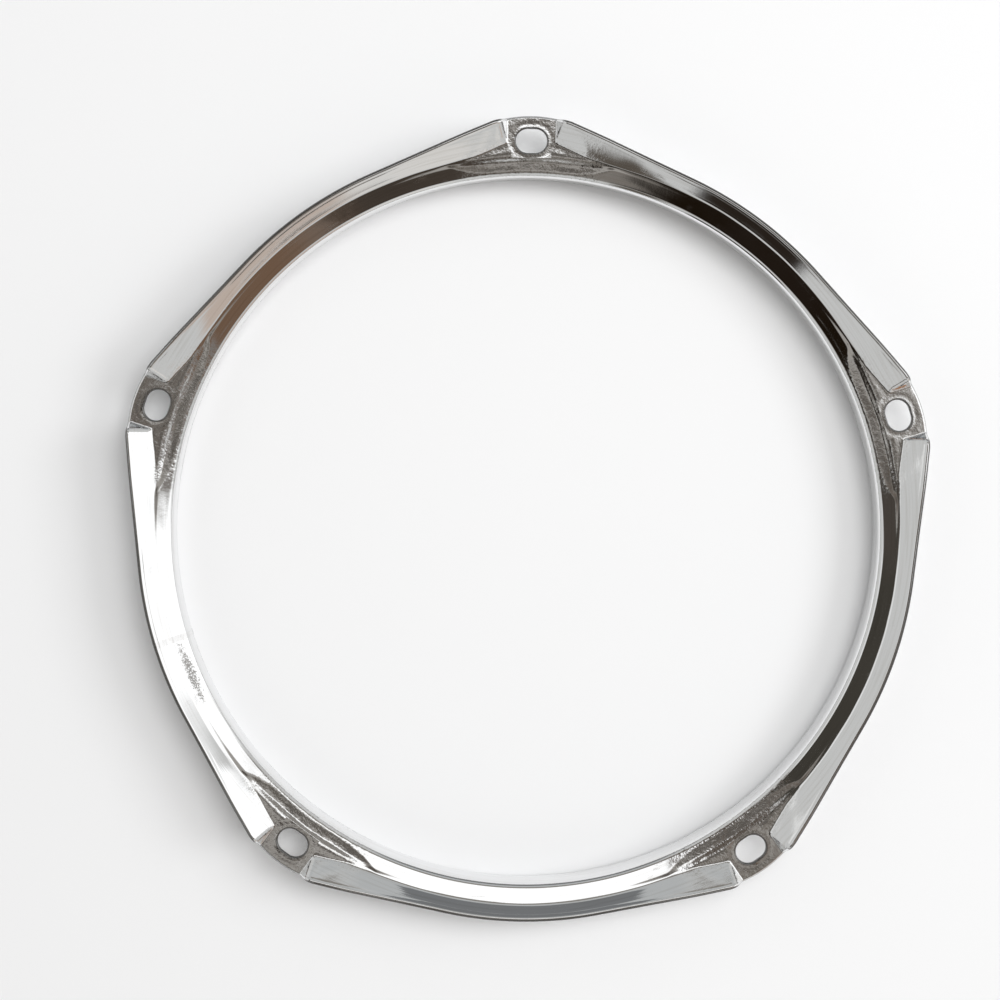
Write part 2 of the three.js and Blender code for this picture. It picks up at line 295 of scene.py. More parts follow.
def middle_height(ear_azimuth, radius, along):
    """Height of the sheet's middle surface from the seat outward."""
    drop = seat_drop(radius, along)
    lift = side_wall_lift(np.abs(along) - PLATE_HALF_WIDTH, skirt_lift(radius, along))
    start = WALL_RADIUS + SEAT_BEND
    wave = waviness(azimuth_at(ear_azimuth, radius, along), radius)
    wave = wave * smooth_step((radius - start) / WAVE_FADE)
    return PLATE_LEVEL - drop + lift + wave + press_marks(ear_azimuth, radius, along)


# Where the mesh's columns lie across each stretch of the strip: their number, or their places as
# shares of the stretch.
RIM_COLUMNS = 4
RIM_BEND_COLUMNS = 7
WALL_SHARES = (0.3, 0.7)
SEAT_BEND_COLUMNS = 11
SEAT_COLUMNS = 17
SHOULDER_COLUMNS = 6
PLATE_SHARES = (0.25, 0.5, 0.75, 1)
FOLD_COLUMNS = 9
SKIRT_SHARES = (0.1, 0.2, 0.32, 0.44, *np.linspace(0.54, 1, 13))
SHOULDER_SHARE = 0.6
EDGE_STEPS = 9

# Where its rows lie along half an ear's stretch of the ring.
SLOT_ROWS = 9
SLOT_PATCH_MARGIN = 0.0019
PLATE_ROW_GAP = 0.0003
SIDE_BEND_ROWS = 8
SIDE_WALL_ROWS = 4
CLOSE_ROWS, CLOSE_ROWS_END = 32, 0.036
WIDER_ROWS, WIDER_ROWS_END = 12, 0.056
WIDEST_ROWS = 15

# The patch with the slot in it: the columns between it and the skirt's edge, the places of its rings
# from its rim to the slot's lip as shares, and the rings round the lip's rounding.
SLOT_PATCH_INSET = 5
PATCH_SHARES = (0.12, 0.25, 0.38, 0.5, 0.62, 0.75, 0.88)
LIP_STEPS = 6
SLOT_CORNER_ANGLE = 40
SLOPE_STEP = 0.00001

# The rows across the weld's bead.
WELD_ROWS = 13

# How far round its rounding a cut edge turns duller and takes a painted dark outline (painted shade), as
# shares of a quarter turn, and how much of both a slot's lip takes.
DARK_START_SHARE = 0.4
DARK_RUN_SHARE = 0.35
LIP_SHARE = 0.7


def points_at(ear_azimuth, radius, along, height):
    azimuth = azimuth_at(ear_azimuth, radius, along)
    return np.stack([radius * np.cos(azimuth), radius * np.sin(azimuth), height + 0 * radius], -1)


def between(start, end, shares):
    return start[:, None] + (end - start)[:, None] * np.asarray(shares)[None, :]


def middle_grid(ear_azimuths, alongs):
    """The sheet's middle surface as rows round the ring and columns across the strip, and the first
    and last column of a slot's patch."""
    zeros = 0 * alongs
    start = SEAT_START + zeros
    bend_height = middle_height(ear_azimuths, start, alongs) - SEAT_BEND * math.cos(SEAT_TILT)
    columns = []

    def add(radius, height):
        columns.append(points_at(ear_azimuths, radius + zeros, alongs, height + zeros))

    for radius in np.linspace(RIM_RADIUS - EDGE_ROUNDING, WALL_RADIUS + RIM_BEND, RIM_COLUMNS)[:-1]:
        add(radius, HALF_SHEET)
    wall_low = HALF_SHEET + RIM_BEND
    for turn in np.linspace(-math.pi / 2, -math.pi, RIM_BEND_COLUMNS):
        add(WALL_RADIUS + RIM_BEND + RIM_BEND * math.cos(turn), wall_low + RIM_BEND * math.sin(turn))
    for share in WALL_SHARES:
        add(WALL_RADIUS, wall_low + share * (bend_height - wall_low))
    for share in np.linspace(0, 1, SEAT_BEND_COLUMNS):
        turn = math.pi - share * (math.pi / 2 - SEAT_TILT)
        add(WALL_RADIUS + SEAT_BEND + SEAT_BEND * math.cos(turn), bend_height + SEAT_BEND * math.sin(turn))

    slope = skirt_slope(alongs)
    angle = np.arctan(slope)
    dip = gusset_dip(fold_radius(alongs), alongs) / slope
    fold_start = fold_radius(alongs) + dip - SOFT_FOLD_BEND * np.tan(angle / 2)
    fold_end = fold_start + SOFT_FOLD_BEND * np.sin(angle)
    shoulder = np.minimum(SEAT_EDGE_RADIUS, fold_start - SEAT_CREASE_HALF_WIDTH)
    near = np.minimum(SEAT_CREASE_HALF_WIDTH, (fold_start - shoulder) * SHOULDER_SHARE)
    on_wing = np.abs(alongs) > WING_CORNER
    edge = edge_radius(alongs) - EDGE_TRIM - EDGE_ROUNDING * np.where(on_wing, np.cos(angle), 1)
    blocks = [
        between(start, shoulder, np.linspace(0, 1, SEAT_COLUMNS)[1:]),
        between(shoulder, shoulder + near, np.linspace(0, 1, SHOULDER_COLUMNS)[1:]),
        between(shoulder + near, fold_start, PLATE_SHARES),
        between(fold_start, fold_end, np.linspace(0, 1, FOLD_COLUMNS)[1:]),
        between(fold_end, edge, SKIRT_SHARES),
    ]
    first = len(columns) + blocks[0].shape[1] + blocks[1].shape[1] - 1
    for radius in np.concatenate(blocks, 1).T:
        add(radius, middle_height(ear_azimuths, radius, alongs))
    return np.stack(columns, 1), (first, len(columns) - SLOT_PATCH_INSET)


def slopes(grid, axis):
    """Second-order differences of a grid of points, for uneven spacing."""
    grid = np.moveaxis(grid, axis, 0)
    step = np.linalg.norm(np.diff(grid, axis=0), axis=-1)[..., None]
    ahead, behind = step[1:], step[:-1]
    inner = behind**2 * grid[2:] - ahead**2 * grid[:-2] + (ahead**2 - behind**2) * grid[1:-1]
    inner = inner / (ahead * behind * (ahead + behind))
    first = (grid[1:2] - grid[:1]) / step[:1]
    last = (grid[-1:] - grid[-2:-1]) / step[-1:]
    return np.moveaxis(np.concatenate([first, inner, last]), 0, axis)


def unit(vectors):
    return vectors / np.linalg.norm(vectors, axis=-1, keepdims=True)


def rounded_edge(middle, facing, outward, half_thickness):
    """Points and normals round a cut edge, from the facing side over to the other side."""
    points, normals = [], []
    core = half_thickness - EDGE_ROUNDING
    turns = np.linspace(0, math.pi / 2, EDGE_STEPS)
    for centre_sign, offset in ((1, 0), (-1, math.pi / 2)):
        for turn in turns + offset:
            normal = math.sin(turn) * outward + math.cos(turn) * facing
            points.append(middle + centre_sign * core * facing + EDGE_ROUNDING * normal)
            normals.append(normal)
    return points, normals


def section_edges(columns, width):
    """Round one section, how much each point shows as a cut edge: the share that dulls the plating and paints
    a dark outline there as shade.
    """
    turns = np.linspace(0, 1, EDGE_STEPS)
    rounding = np.concatenate([smooth_step((turns - DARK_START_SHARE) / DARK_RUN_SHARE), np.ones(EDGE_STEPS)])
    edges = np.zeros(width)
    edges[columns - 1 : columns - 1 + rounding.size] = rounding
    edges[width - rounding.size + 1 :] = rounding[:0:-1]
    return edges


def strip_sections(ear_azimuths, alongs, half_thickness):
    """Closed sections of the strip with their normals, as rows x places round a section x 3, the
    number of columns on each side, and the first and last column of a slot's patch."""
    middle, patch_columns = middle_grid(ear_azimuths, alongs)
    across = slopes(middle, 1)
    onward = slopes(middle, 0)
    facing = unit(np.cross(across, onward))
    columns = middle.shape[1]
    half = np.broadcast_to(np.asarray(half_thickness, float), alongs.shape)[:, None]
    outer = -unit(np.cross(facing[:, -1], onward[:, -1]))
    rim = unit(np.cross(facing[:, 0], onward[:, 0]))
    outer_points, outer_normals = rounded_edge(middle[:, -1], facing[:, -1], outer, half)
    rim_points, rim_normals = rounded_edge(middle[:, 0], facing[:, 0], rim, half)
    there, back = range(columns - 1), range(columns - 2, 0, -1)
    points = [middle[:, column] + half * facing[:, column] for column in there]
    points += outer_points
    points += [middle[:, column] - half * facing[:, column] for column in back]
    points += rim_points[:0:-1]
    normals = [facing[:, column] for column in there]
    normals += outer_normals
    normals += [-facing[:, column] for column in back]
    normals += rim_normals[:0:-1]
    return np.stack(points, 1), np.stack(normals, 1), columns, patch_columns


def half_ear_alongs():
    """Distances from an ear's middle at which the strip has a section, close together at its bends."""
    bend_turns = np.linspace(0, 1, SIDE_BEND_ROWS) * SIDE_ANGLE
    foot = PLATE_HALF_WIDTH + SIDE_BEND * np.sin(bend_turns)
    crest = WING_CORNER - SIDE_BEND * np.sin(bend_turns[::-1])
    blocks = [
        np.linspace(0, HOLE_LENGTH / 2 + SLOT_PATCH_MARGIN, SLOT_ROWS + 1),
        np.array([PLATE_HALF_WIDTH - PLATE_ROW_GAP]),
        foot,
        np.linspace(foot[-1], crest[0], SIDE_WALL_ROWS)[1:-1],
        crest,
        np.linspace(WING_CORNER, CLOSE_ROWS_END, CLOSE_ROWS)[1:],
        np.linspace(CLOSE_ROWS_END, WIDER_ROWS_END, WIDER_ROWS)[1:],
        np.linspace(WIDER_ROWS_END, HALF_SPAN, WIDEST_ROWS)[1:],
    ]
    return np.concatenate(blocks)


def ring_places():
    """For each row its ear's azimuth and its distance from that ear, and each ear's middle row."""
    half = half_ear_alongs()
    to_weld = np.minimum(half, HALF_SPAN - WELD_WIDTH / 2)
    ears, alongs, middles = [], [], []
    for index in range(EAR_COUNT):
        azimuth = math.pi / 2 + (EAR_AFTER_WELD + index) * EAR_PITCH
        before = to_weld if index == 0 else half[:-1]
        after = to_weld if index == EAR_COUNT - 1 else half
        row = np.concatenate([-before[::-1], after[1:]])
        middles.append((len(alongs) + len(before) - 1, azimuth))
        ears += [azimuth] * len(row)
        alongs += list(row)
    return np.array(ears), np.array(alongs), middles


def slot_outline(counts):
    """Points and outward directions round the slot, starting low on its left. counts says how many
    points go on its lower side, right end, upper side and left end."""
    reach, end = (HOLE_LENGTH - HOLE_WIDTH) / 2, HOLE_WIDTH / 2
    corner = math.radians(SLOT_CORNER_ANGLE)
    corners = np.array([-math.pi + corner, -corner, corner, math.pi - corner, math.pi + corner])
    points, aways = [], []
    for count, start, stop in zip(counts, corners, corners[1:]):
        middle = (start + stop) / 2
        crosses = abs(math.sin(middle)) > 0.5
        length = abs(stop - start) * end + (2 * reach if crosses else 0)
        for share in np.arange(count) / count:
            done = share * length
            if crosses and abs(done - length / 2) <= reach:
                turn = middle
                along = (done - length / 2) * -math.sin(turn)
            elif crosses and done > length / 2:
                turn = start + (done - 2 * reach) / end
                along = -math.sin(middle) * reach
            elif crosses:
                turn = start + done / end
                along = math.sin(middle) * reach
            else:
                turn = start + done / end
                along = math.copysign(reach, math.cos(middle))
            away = np.array([math.cos(turn), math.sin(turn)])
            points.append(np.array([along, 0]) + end * away)
            aways.append(away)
    return np.array(points), np.array(aways)


def patch_loop(low, high, first, last):
    """Rows and columns round a slot's patch, in the order of the slot's outline."""
    loop = [(row, first) for row in range(low, high)]
    loop += [(high, column) for column in range(first, last)]
    loop += [(row, last) for row in range(high, low, -1)]
    loop += [(low, column) for column in range(last, first, -1)]
    return loop


def patch_heights(azimuths, radii, spots):
    """Waviness and the washer's print at places of a slot's patch, with their slopes both ways."""
    wave = waviness(azimuths, radii)
    mark = slot_print(spots[:, 0], spots[:, 1])
    beside = waviness(azimuths + SLOPE_STEP / radii, radii) - wave
    beside = beside + slot_print(spots[:, 0] + SLOPE_STEP, spots[:, 1]) - mark
    outward = waviness(azimuths, radii + SLOPE_STEP) - wave
    outward = outward + slot_print(spots[:, 0], spots[:, 1] + SLOPE_STEP) - mark
    return wave + mark, beside / SLOPE_STEP, outward / SLOPE_STEP


def patch_ring(azimuth, side, spots, away, turn):
    """Points and normals of one ring of a slot's patch. side is 1 on the facing side and -1 on the
    other, and turn says how far round the lip the ring lies."""
    radial = np.array([math.cos(azimuth), math.sin(azimuth), 0])
    tangent = np.array([-math.sin(azimuth), math.cos(azimuth), 0])
    upright = np.array([0, 0, 1.0])
    points = (HOLE_CIRCLE_RADIUS + spots[:, 1:]) * radial + spots[:, :1] * tangent
    azimuths, radii = np.arctan2(points[:, 1], points[:, 0]), np.hypot(points[:, 0], points[:, 1])
    heights, beside, outward = patch_heights(azimuths, radii, spots)
    level = PLATE_LEVEL + side * (HALF_SHEET - HOLE_ROUNDING * (1 - math.cos(turn)))
    points = points + (level + heights)[:, None] * upright
    lean = -math.sin(turn) * away
    tip = beside[:, None] * tangent + outward[:, None] * radial
    normals = lean[:, :1] * tangent + lean[:, 1:] * radial + side * math.cos(turn) * (upright - tip)
    return points, unit(normals)


def make_mesh(name, points, normals, faces, cut_edge_and_painted_shade):
    """A mesh with its own normals, and a share per point that is 1 on the sheet's cut edges and 0 on its
    faces; the material dulls the plating by it and paints a dark outline there as shade.
    """
    mesh = bpy.data.meshes.new(name)
    mesh.from_pydata(points.tolist(), [], faces)
    mesh.attributes.new("cut_edge_and_painted_shade", "FLOAT", "POINT").data.foreach_set("value", cut_edge_and_painted_shade)
    mesh.polygons.foreach_set("use_smooth", [True] * len(mesh.polygons))
    mesh.update()
    mesh.normals_split_custom_set_from_vertices(normals.tolist())
    piece = bpy.data.objects.new(name, mesh)
    bpy.context.scene.collection.objects.link(piece)
    return piece


def tube_faces(rows, width, skip):
    faces = []
    for row in range(rows - 1):
        for side in range(width):
            if (row, side) in skip:
                continue
            here, beside = row * width + side, row * width + (side + 1) % width
            faces.append((here, beside, beside + width, here + width))
    return faces


def cap_faces(rows, width):
    """The two flat end faces, as quads between the facing side and the other side."""
    faces = []
    for base, flip in ((0, False), ((rows - 1) * width, True)):
        left, right = 0, width - 1
        while right - left > 2:
            quad = [base + left, base + right, base + right - 1, base + left + 1]
            faces.append(tuple(quad[::-1]) if flip else tuple(quad))
            left, right = left + 1, right - 1
        if right - left == 2:
            last = [base + left, base + right, base + left + 1]
            faces.append(tuple(last[::-1]) if flip else tuple(last))
    return faces


def ring_faces(rings):
    """Faces between rings of point numbers, each ring as long as the next."""
    faces = []
    for ring, following in zip(rings, rings[1:]):
        for here in range(len(ring)):
            after = (here + 1) % len(ring)
            faces.append((ring[after], ring[here], following[here], following[after]))
    return faces


def build_strip():
    ears, alongs, middles = ring_places()
    points, normals, columns, (first, last) = strip_sections(ears, alongs, HALF_SHEET)
    rows, width = points.shape[:2]
    all_points, all_normals = [points.reshape(-1, 3)], [normals.reshape(-1, 3)]
    all_edges = [np.tile(section_edges(columns, width), rows)]
    count = rows * width
    lip_turns = np.linspace(0, math.pi / 2, LIP_STEPS)
    ring_kinds = [(share, 0, 0) for share in PATCH_SHARES]
    # A slot's lip takes part of the cut edges' painted dark outline (painted shade), more of it towards the
    # slot.
    ring_kinds += [(1, turn, LIP_SHARE + (1 - LIP_SHARE) * math.sin(turn)) for turn in lip_turns]

    def other(column):
        """Place round a section of a column on the other side, past the facing side and its edge."""
        return (columns - 1) + 2 * EDGE_STEPS + (columns - 2 - column)

    skip, faces = set(), []
    for middle_row, azimuth in middles:
        low, high = middle_row - SLOT_ROWS, middle_row + SLOT_ROWS
        for row in range(low, high):
            for column in range(first, last):
                skip.add((row, column))
                skip.add((row, other(column + 1)))
        loop = patch_loop(low, high, first, last)
        facing_ids = [row * width + column for row, column in loop]
        other_ids = [row * width + other(column) for row, column in loop]
        rim = all_points[0][facing_ids]
        beside = rim @ np.array([-math.sin(azimuth), math.cos(azimuth), 0])
        outward = rim @ np.array([math.cos(azimuth), math.sin(azimuth), 0]) - HOLE_CIRCLE_RADIUS
        start = np.stack([beside, outward], -1)
        outline, away = slot_outline([high - low, last - first, high - low, last - first])
        lip = outline + HOLE_ROUNDING * away
        rings = {1: [facing_ids], -1: [other_ids]}
        for side, side_rings in rings.items():
            for share, turn, cut_edge_and_painted_shade in ring_kinds:
                spots = start + (lip - start) * share - HOLE_ROUNDING * math.sin(turn) * away
                ring_points, ring_normals = patch_ring(azimuth, side, spots, away, turn)
                all_points.append(ring_points)
                all_normals.append(ring_normals)
                all_edges.append(np.full(len(loop), cut_edge_and_painted_shade, float))
                side_rings.append(list(range(count, count + len(loop))))
                count += len(loop)
        faces += ring_faces(rings[1] + rings[-1][::-1])
    faces = tube_faces(rows, width, skip) + faces + cap_faces(rows, width)
    points, normals = np.concatenate(all_points), np.concatenate(all_normals)
    return make_mesh("hoop_strip", points, normals, faces, np.concatenate(all_edges))


def build_weld():
    ear = math.pi / 2 + EAR_AFTER_WELD * EAR_PITCH
    shares = np.linspace(-1, 1, WELD_ROWS)
    alongs = -HALF_SPAN + shares * WELD_WIDTH / 2
    half = HALF_SHEET + BEAD_PROUD * (1 - shares**4)
    points, normals, columns, _ = strip_sections(ear + 0 * alongs, alongs, half)
    rows, width = points.shape[:2]
    faces = tube_faces(rows, width, set()) + cap_faces(rows, width)
    edges = np.tile(section_edges(columns, width), rows)
    return make_mesh("weld_bead", points.reshape(-1, 3), normals.reshape(-1, 3), faces, edges)


# The plating's colours and roughness.
CHROME_COLOUR = (0.86, 0.865, 0.87)
CHROME_ROUGHNESS = 0.06
WELD_COLOUR = (0.82, 0.82, 0.82)
WELD_ROUGHNESS = 0.13
DULL_COLOUR = (0.68, 0.665, 0.64)
DRESSED_COLOUR = (0.30, 0.285, 0.265)
# Painted shade: a near-black outline along the cut edges and slot lips, standing in for the dark reflections
# the chrome shows there.
EDGE_PAINTED_SHADE_COLOUR = (0.05, 0.045, 0.04)
RUST_COLOUR = (0.42, 0.19, 0.08)

# The plating's fine detail: sizes as features per metre, heights in metres. Lines and patches are
# drawn out along the strip, so a stretch below 1 makes them longer.
GRAIN_PER_METRE = 1500.0
GRAIN_HEIGHT = 0.000032
WELD_GRAIN_HEIGHT = 0.0000384
GRAIN_ELSEWHERE = 0.000003
GRAIN_REACH = 0.032
GRAIN_FADE = 0.010
MOTTLE_PER_METRE = 420.0
MOTTLE_BY_EAR = 0.00009
MOTTLE_ELSEWHERE = 0.000004
BROAD_PER_METRE = 50.0
LINES_PER_METRE = 1300.0
LINE_STRETCH = 0.02
LINES_ON_SKIRT = 0.000007
LINES_ELSEWHERE = 0.000004
PATCHES_PER_METRE = 700.0
PATCH_STRETCH = 0.05
RAGGED_PER_METRE = 900.0

# Two sets of scratches: stretch along the strip, lean across it, and features per metre.
SCRATCH_SETS = ((0.004, 0.10, 1300.0), (0.010, -0.35, 900.0))
SCRATCH_WIDTH = 0.010
SCRATCH_DEPTH = 0.000003
SCRATCHED_PER_METRE = 130.0
SCRATCHED_LEVELS = (0.62, 0.72)
WELD_SCRATCH_SHARE = 0.10

# The skirt's share of the pressed grain is less, from just over the plate upward.
SKIRT_FROM_PLATE = 0.0004
SKIRT_FULL_FROM_PLATE = 0.0016
SKIRT_GRAIN_LOSS_SHARE = 0.8

# Oval spots: azimuth, radius, height, half length along the ring, half length across it.
DRESSED_SPOT = (WELD_AZIMUTH + 0.100, 0.1340, 0.0172, 0.014, 0.0022)
DRESSED_GRAIN_PER_METRE = 1950.0
DRESSING_DEPTH = 0.00006
RUST_SPOT = (math.radians(21.8), 0.1475, 0.0182, 0.0007, 0.0040)
SPOT_RAGGEDNESS = 1.2
SPOT_EDGE_LEVELS = (1.5, 0.9)

# Levels between which a noise starts to count and counts in full.
BROAD_LEVELS = (0.35, 0.65)
PATCH_LEVELS = (0.44, 0.72)
GRAIN_LEVELS = (0.52, 0.68)
DRESSED_LEVELS = (0.42, 0.60)

# Shares of the duller colours on each mark.
PATCH_DULL_SHARE = 0.35
GRAIN_DULL_SHARE = 0.5
SCRATCH_DULL_SHARE = 0.35
DRESSED_COLOUR_SHARE = 0.7
# How much of the painted dark outline (painted shade) the cut edges take.
EDGE_PAINTED_SHADE_SHARE = 0.9
RUST_METAL_LOSS_SHARE = 0.85

# How the plating's own roughness varies, and what each mark adds to it.
ROUGHNESS_SHARES = (0.8, 1.3)
PRESSED_ROUGHNESS = 0.05
SCRATCH_ROUGHNESS = 0.20
DRESSED_ROUGHNESS = 0.25
EDGE_ROUGHNESS = 0.10
RUST_ROUGHNESS = 0.55


def node(tree, kind, inputs=None, **settings):
    made = tree.nodes.new(kind)
    for key, value in settings.items():
        setattr(made, key, value)
    for key, value in (inputs or {}).items():
        socket = made.inputs[key]
        if isinstance(value, bpy.types.NodeSocket):
            tree.links.new(value, socket)
        else:
            socket.default_value = value
    return made


def maths(tree, operation, *values, clamp=False):
    made = node(tree, "ShaderNodeMath", dict(enumerate(values)), operation=operation, use_clamp=clamp)
    return made.outputs[0]


def spread(tree, value, low, high, to_low=0.0, to_high=1.0):
    """Map a value smoothly from one range to another, and hold it at the ends."""
    inputs = {"Value": value, "From Min": low, "From Max": high, "To Min": to_low, "To Max": to_high}
    return node(tree, "ShaderNodeMapRange", inputs, interpolation_type="SMOOTHSTEP").outputs[0]


def blend_colour(tree, share, under, over):
    made = node(tree, "ShaderNodeMix", {"Factor": share}, data_type="RGBA")
    for socket, value in ((made.inputs[6], under), (made.inputs[7], over)):
        if isinstance(value, bpy.types.NodeSocket):
            tree.links.new(value, socket)
        else:
            socket.default_value = (*value, 1)
    return made.outputs[2]


def noise(tree, vector, per_metre, detail=2.0):
    inputs = {"Vector": vector, "Scale": per_metre, "Detail": detail}
    return node(tree, "ShaderNodeTexNoise", inputs).outputs["Fac"]


def turned_about_axis(tree, vector, angle):
    inputs = {"Vector": vector, "Angle": angle}
    return node(tree, "ShaderNodeVectorRotate", inputs, rotation_type="Z_AXIS").outputs[0]


def spot(tree, place, azimuth, radius, height, length_along, length_out):
    """1 in the middle of an oval spot on the strip, 0 outside it, with a ragged edge."""
    middle = (radius * math.cos(azimuth), radius * math.sin(azimuth), height)
    offset = node(tree, "ShaderNodeVectorMath", {0: place, 1: middle}, operation="SUBTRACT").outputs[0]
    turned = turned_about_axis(tree, offset, -azimuth)
    scale = (1 / length_out, 1 / length_along, 1 / length_out)
    scaled = node(tree, "ShaderNodeVectorMath", {0: turned, 1: scale}, operation="MULTIPLY").outputs[0]
    distance = node(tree, "ShaderNodeVectorMath", {0: scaled}, operation="LENGTH").outputs["Value"]
    ragged = noise(tree, place, RAGGED_PER_METRE)
    ragged = maths(tree, "MULTIPLY_ADD", ragged, SPOT_RAGGEDNESS, distance)
    return spread(tree, ragged, *SPOT_EDGE_LEVELS)


def chrome_material(name, colour, roughness, grain_height, scratch_share):
    """Chrome plate over pressed steel: grain where the press stretched it, lines rolled along it,
    a few scratches, duller cut edges with a near-black outline painted on them as shade, and a trace of rust
    in one crease."""
    material = bpy.data.materials.new(name)
    material.use_nodes = True
    tree = material.node_tree
    shader = tree.nodes["Principled BSDF"]
    place = node(tree, "ShaderNodeTexCoord").outputs["Object"]

    def times(first, second):
        return maths(tree, "MULTIPLY", first, second)

    def added(total, value, share):
        return maths(tree, "MULTIPLY_ADD", value, share, total)

    # Coordinates along the strip and across it, with the jump at the weld.
    turned = turned_about_axis(tree, place, math.pi - WELD_AZIMUTH)
    parts = node(tree, "ShaderNodeSeparateXYZ", {0: turned})
    azimuth = maths(tree, "ARCTAN2", parts.outputs["Y"], parts.outputs["X"])
    squares = [maths(tree, "POWER", parts.outputs[axis], 2.0) for axis in "XY"]
    radius = maths(tree, "SQRT", maths(tree, "ADD", *squares))
    height = parts.outputs["Z"]
    along = times(azimuth, HOLE_CIRCLE_RADIUS)
    across = maths(tree, "ADD", radius, height)
    from_ear = maths(tree, "ABSOLUTE", maths(tree, "WRAP", azimuth, EAR_PITCH / 2, -EAR_PITCH / 2))
    from_ear = times(from_ear, HOLE_CIRCLE_RADIUS)

    def streaks(stretch, lean=0.0):
        """Coordinates for features that are drawn out along the strip and may lean across it."""
        inputs = {0: times(along, stretch), 1: added(across, along, lean)}
        return node(tree, "ShaderNodeCombineXYZ", inputs).outputs[0]

    skirt_from, skirt_full = PLATE_HEIGHT + SKIRT_FROM_PLATE, PLATE_HEIGHT + SKIRT_FULL_FROM_PLATE
    on_skirt = spread(tree, height, skirt_from, skirt_full)
    by_ear = spread(tree, from_ear, GRAIN_REACH, GRAIN_REACH - GRAIN_FADE)
    pressed = times(by_ear, added(1.0, on_skirt, -SKIRT_GRAIN_LOSS_SHARE))

    grain = noise(tree, place, GRAIN_PER_METRE, 3.0)
    mottle = noise(tree, place, MOTTLE_PER_METRE)
    broad = noise(tree, place, BROAD_PER_METRE)
    lines = noise(tree, streaks(LINE_STRETCH), LINES_PER_METRE)
    patches = noise(tree, streaks(PATCH_STRETCH), PATCHES_PER_METRE)

    scratch = 0.0
    for stretch, lean, per_metre in SCRATCH_SETS:
        value = maths(tree, "SUBTRACT", noise(tree, streaks(stretch, lean), per_metre, 1.0), 0.5)
        scratches = spread(tree, maths(tree, "ABSOLUTE", value), SCRATCH_WIDTH, 0.0)
        scratch = maths(tree, "MAXIMUM", scratch, scratches)
    low, high = SCRATCHED_LEVELS
    scratched = noise(tree, place, SCRATCHED_PER_METRE, 1.0)
    scratch = times(scratch, spread(tree, scratched, low - scratch_share, high - scratch_share))

    dressed = spot(tree, place, *DRESSED_SPOT)
    ground = noise(tree, place, DRESSED_GRAIN_PER_METRE)
    dressed = times(dressed, spread(tree, ground, *DRESSED_LEVELS))
    rust = spot(tree, place, *RUST_SPOT)
    # The cut edges' share, which dulls the plating and paints a near-black outline there as shade.
    edge = node(tree, "ShaderNodeAttribute", attribute_name="cut_edge_and_painted_shade").outputs["Fac"]

    relief = times(times(grain, pressed), grain_height)
    relief = added(relief, grain, GRAIN_ELSEWHERE)
    relief = added(relief, mottle, added(MOTTLE_ELSEWHERE, pressed, MOTTLE_BY_EAR))
    relief = added(relief, lines, added(LINES_ELSEWHERE, on_skirt, LINES_ON_SKIRT))
    relief = added(relief, scratch, -SCRATCH_DEPTH)
    relief = added(relief, dressed, -DRESSING_DEPTH)
    bump = node(tree, "ShaderNodeBump", {"Height": relief, "Distance": 1.0, "Strength": 1.0})
    tree.links.new(bump.outputs[0], shader.inputs["Normal"])

    shade = times(spread(tree, patches, *PATCH_LEVELS), PATCH_DULL_SHARE)
    shade = added(shade, times(spread(tree, grain, *GRAIN_LEVELS), pressed), GRAIN_DULL_SHARE)
    tone = blend_colour(tree, shade, colour, DULL_COLOUR)
    tone = blend_colour(tree, times(scratch, SCRATCH_DULL_SHARE), tone, DULL_COLOUR)
    tone = blend_colour(tree, times(dressed, DRESSED_COLOUR_SHARE), tone, DRESSED_COLOUR)
    # Painted shade: the near-black outline on the cut edges and slot lips.
    tone = blend_colour(tree, times(edge, EDGE_PAINTED_SHADE_SHARE), tone, EDGE_PAINTED_SHADE_COLOUR)
    tone = blend_colour(tree, rust, tone, RUST_COLOUR)
    tree.links.new(tone, shader.inputs["Base Color"])

    smoothest, roughest = (roughness * share for share in ROUGHNESS_SHARES)
    rough = spread(tree, broad, *BROAD_LEVELS, smoothest, roughest)
    rough = added(rough, pressed, PRESSED_ROUGHNESS)
    rough = added(rough, scratch, SCRATCH_ROUGHNESS)
    rough = added(rough, dressed, DRESSED_ROUGHNESS)
    rough = added(rough, edge, EDGE_ROUGHNESS)
    rough = maths(tree, "MULTIPLY_ADD", rust, RUST_ROUGHNESS, rough, clamp=True)
    tree.links.new(rough, shader.inputs["Roughness"])
    metal = maths(tree, "SUBTRACT", 1.0, times(rust, RUST_METAL_LOSS_SHARE))
    tree.links.new(metal, shader.inputs["Metallic"])
    return material


FLOOR_SIZE = 4.0
PAPER_COLOUR = (0.895, 0.90, 0.91)
PAPER_ROUGHNESS = 0.9
PAPER_GLOSS = 0.1


def build_floor():
    bpy.ops.mesh.primitive_plane_add(size=FLOOR_SIZE, location=(0, 0, 0))
    floor = bpy.context.object
    floor.name = "floor"
    material = bpy.data.materials.new("paper")
    material.use_nodes = True
    shader = material.node_tree.nodes["Principled BSDF"]
    shader.inputs["Base Color"].default_value = (*PAPER_COLOUR, 1)
    shader.inputs["Roughness"].default_value = PAPER_ROUGHNESS
    shader.inputs["Specular IOR Level"].default_value = PAPER_GLOSS
    floor.data.materials.append(material)


# The camera looks straight down. These are the places in the picture of the ring's middle and of the
# point straight under the camera, the picture's turn in degrees, and the camera's height over the ears.
FRAME_PIXELS = 1000
RING_PIXEL = (526.1, 530.7)
UNDER_PIXEL = (455.0, 375.0)
METRES_PER_PIXEL = 0.000368
CAMERA_DISTANCE = 0.800
CAMERA_TURN = 0.8
SENSOR_WIDTH = 36


